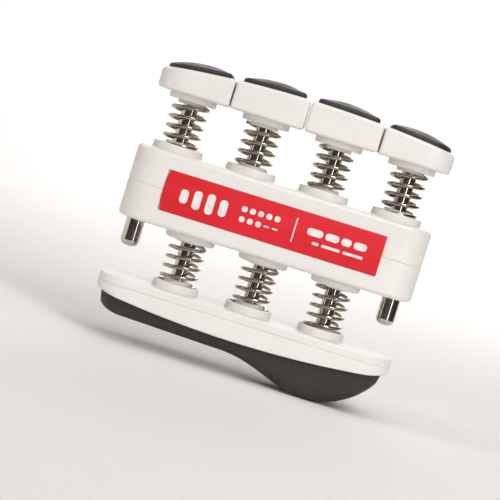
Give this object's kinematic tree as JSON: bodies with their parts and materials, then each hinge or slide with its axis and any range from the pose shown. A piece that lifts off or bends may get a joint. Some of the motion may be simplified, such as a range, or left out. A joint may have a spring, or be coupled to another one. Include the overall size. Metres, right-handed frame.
{
  "type": "finger exerciser",
  "caption": "Hand-held finger exerciser: sprung finger buttons with rubber pads over a housing that slides on sprung shafts towards a rubber-covered palm bar.",
  "frame": {"origin": "under the middle of the palm bar, at the height of the lowest point of the rubber grip, on the plane of the shafts", "axes": "+Z from the palm grip to the finger buttons, along every shaft; X along the bars, with the grip's bulge towards +X; -Y is the front with the label panel"},
  "size_m": [0.08, 0.0217, 0.077],
  "materials": {
    "white_plastic": "semi-gloss moulded warm white",
    "cap_plastic": "semi-gloss moulded warm white",
    "grip_rubber": "matte dark grey rubber, fine texture",
    "pad_rubber": "matte dark grey rubber, fine texture",
    "label_red": null,
    "shaft_steel": "polished",
    "pin_steel": "polished, rounded tip",
    "spring_steel": "bright nickel-plated wire",
    "clip_steel": "stamped spring steel"
  },
  "bodies": {
    "palm_bar": {"palm_bar_plate": "white_plastic", "palm_bar_shell": "white_plastic", "palm_grip": "grip_rubber", "palm_shaft_left": "shaft_steel", "palm_shaft_middle": "shaft_steel", "palm_shaft_right": "shaft_steel", "palm_clip_left": "clip_steel", "palm_clip_middle": "clip_steel", "palm_clip_right": "clip_steel", "palm_spring_left": "spring_steel", "palm_spring_middle": "spring_steel", "palm_spring_right": "spring_steel"},
    "housing": {"housing_lower": "white_plastic", "housing_upper": "white_plastic", "label_panel": "label_red", "end_pin_left": "pin_steel", "end_pin_right": "pin_steel", "finger_spring_index": "spring_steel", "finger_spring_middle": "spring_steel", "finger_spring_ring": "spring_steel", "finger_spring_little": "spring_steel"},
    "index_button": {"button_index": "cap_plastic", "pad_index": "pad_rubber", "finger_shaft_index": "shaft_steel", "finger_clip_index": "clip_steel"},
    "middle_button": {"button_middle": "cap_plastic", "pad_middle": "pad_rubber", "finger_shaft_middle": "shaft_steel", "finger_clip_middle": "clip_steel"},
    "ring_button": {"button_ring": "cap_plastic", "pad_ring": "pad_rubber", "finger_shaft_ring": "shaft_steel", "finger_clip_ring": "clip_steel"},
    "little_button": {"button_little": "cap_plastic", "pad_little": "pad_rubber", "finger_shaft_little": "shaft_steel", "finger_clip_little": "clip_steel"}
  },
  "joints": [
    {"name": "palm_squeeze", "type": "slide", "parent": "palm_bar", "child": "housing", "axis": [0, 0, -1], "range_m": [0, 0.0068], "stiffness_N_per_m": 6600, "springref_m": -0.002, "deforming": ["palm_spring_left", "palm_spring_middle", "palm_spring_right"]},
    {"name": "index_press", "type": "slide", "parent": "housing", "child": "index_button", "axis": [0, 0, -1], "range_m": [0, 0.0076], "stiffness_N_per_m": 2200, "springref_m": -0.002, "deforming": ["finger_spring_index"]},
    {"name": "middle_press", "type": "slide", "parent": "housing", "child": "middle_button", "axis": [0, 0, -1], "range_m": [0, 0.0076], "stiffness_N_per_m": 2200, "springref_m": -0.002, "deforming": ["finger_spring_middle"]},
    {"name": "ring_press", "type": "slide", "parent": "housing", "child": "ring_button", "axis": [0, 0, -1], "range_m": [0, 0.0076], "stiffness_N_per_m": 2200, "springref_m": -0.002, "deforming": ["finger_spring_ring"]},
    {"name": "little_press", "type": "slide", "parent": "housing", "child": "little_button", "axis": [0, 0, -1], "range_m": [0, 0.0076], "stiffness_N_per_m": 2200, "springref_m": -0.002, "deforming": ["finger_spring_little"]}
  ]
}
